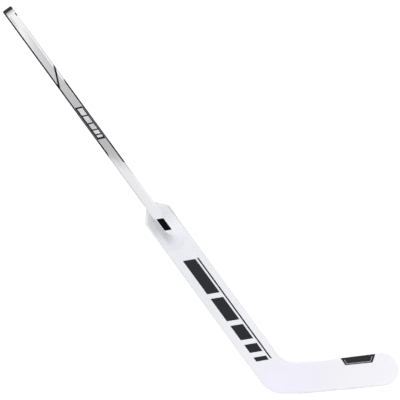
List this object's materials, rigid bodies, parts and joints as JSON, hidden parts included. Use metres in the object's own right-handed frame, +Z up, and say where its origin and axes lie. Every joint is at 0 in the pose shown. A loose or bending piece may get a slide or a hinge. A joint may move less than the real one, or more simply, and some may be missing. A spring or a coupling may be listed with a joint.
{
  "type": "ice hockey goalie stick",
  "caption": "Goalkeeper's ice hockey stick with a hollow shaft, wide flat paddle, curved blade and a pull-out butt end plug, for stopping and clearing pucks.",
  "frame": {"origin": "middle of the flat of the blade's sole, on the ice", "axes": "+X along the blade towards the toe, +Z up from the ice, front (forehand) face towards -Y; the shaft leans back to -X at 59.4 degrees from the ice"},
  "size_m": [1.0069, 0.0425, 1.1625],
  "materials": {
    "white_lacquer": "white lacquer over fibre laminate, satin gloss",
    "shaft_lacquer": "white to silver grey faded lacquer with black edge stripes",
    "print_black": "black printed film under clear lacquer",
    "grip_rubber": "pale soft-touch pad with fine raised dots",
    "black_rubber": "matt black moulded plug",
    "foam": "closed-cell structural foam",
    "carbon_laminate": "carbon fibre laminate, unpainted",
    "dense_insert": "dense moulded insert"
  },
  "bodies": {
    "stick": {"shaft_tube": "shaft_lacquer", "shaft_foam_plug": "foam", "shaft_graphic_film": "print_black", "shoulder_graphic_film": "print_black", "paddle_spar": "carbon_laminate", "paddle_core_heel_side": "foam", "paddle_core_toe_side": "foam", "paddle_front_skin": "white_lacquer", "paddle_back_skin": "white_lacquer", "paddle_edge_heel_side": "white_lacquer", "paddle_edge_toe_side": "white_lacquer", "finger_grip_front": "grip_rubber", "finger_grip_back": "grip_rubber", "paddle_graphic_front": "print_black", "paddle_graphic_back": "print_black", "heel_block": "dense_insert", "blade_rib": "carbon_laminate", "blade_core_upper": "foam", "blade_core_lower": "foam", "blade_front_skin": "white_lacquer", "blade_back_skin": "white_lacquer", "blade_sole_edge": "white_lacquer", "blade_top_edge": "white_lacquer", "blade_toe_edge": "white_lacquer", "blade_graphic_film": "print_black"},
    "end_plug": {"end_cap": "black_rubber"}
  },
  "joints": [
    {"name": "end_cap_slide", "type": "slide", "parent": "stick", "child": "end_plug", "axis": [-0.509, 0, 0.8607], "range_m": [0, 0.05]}
  ]
}
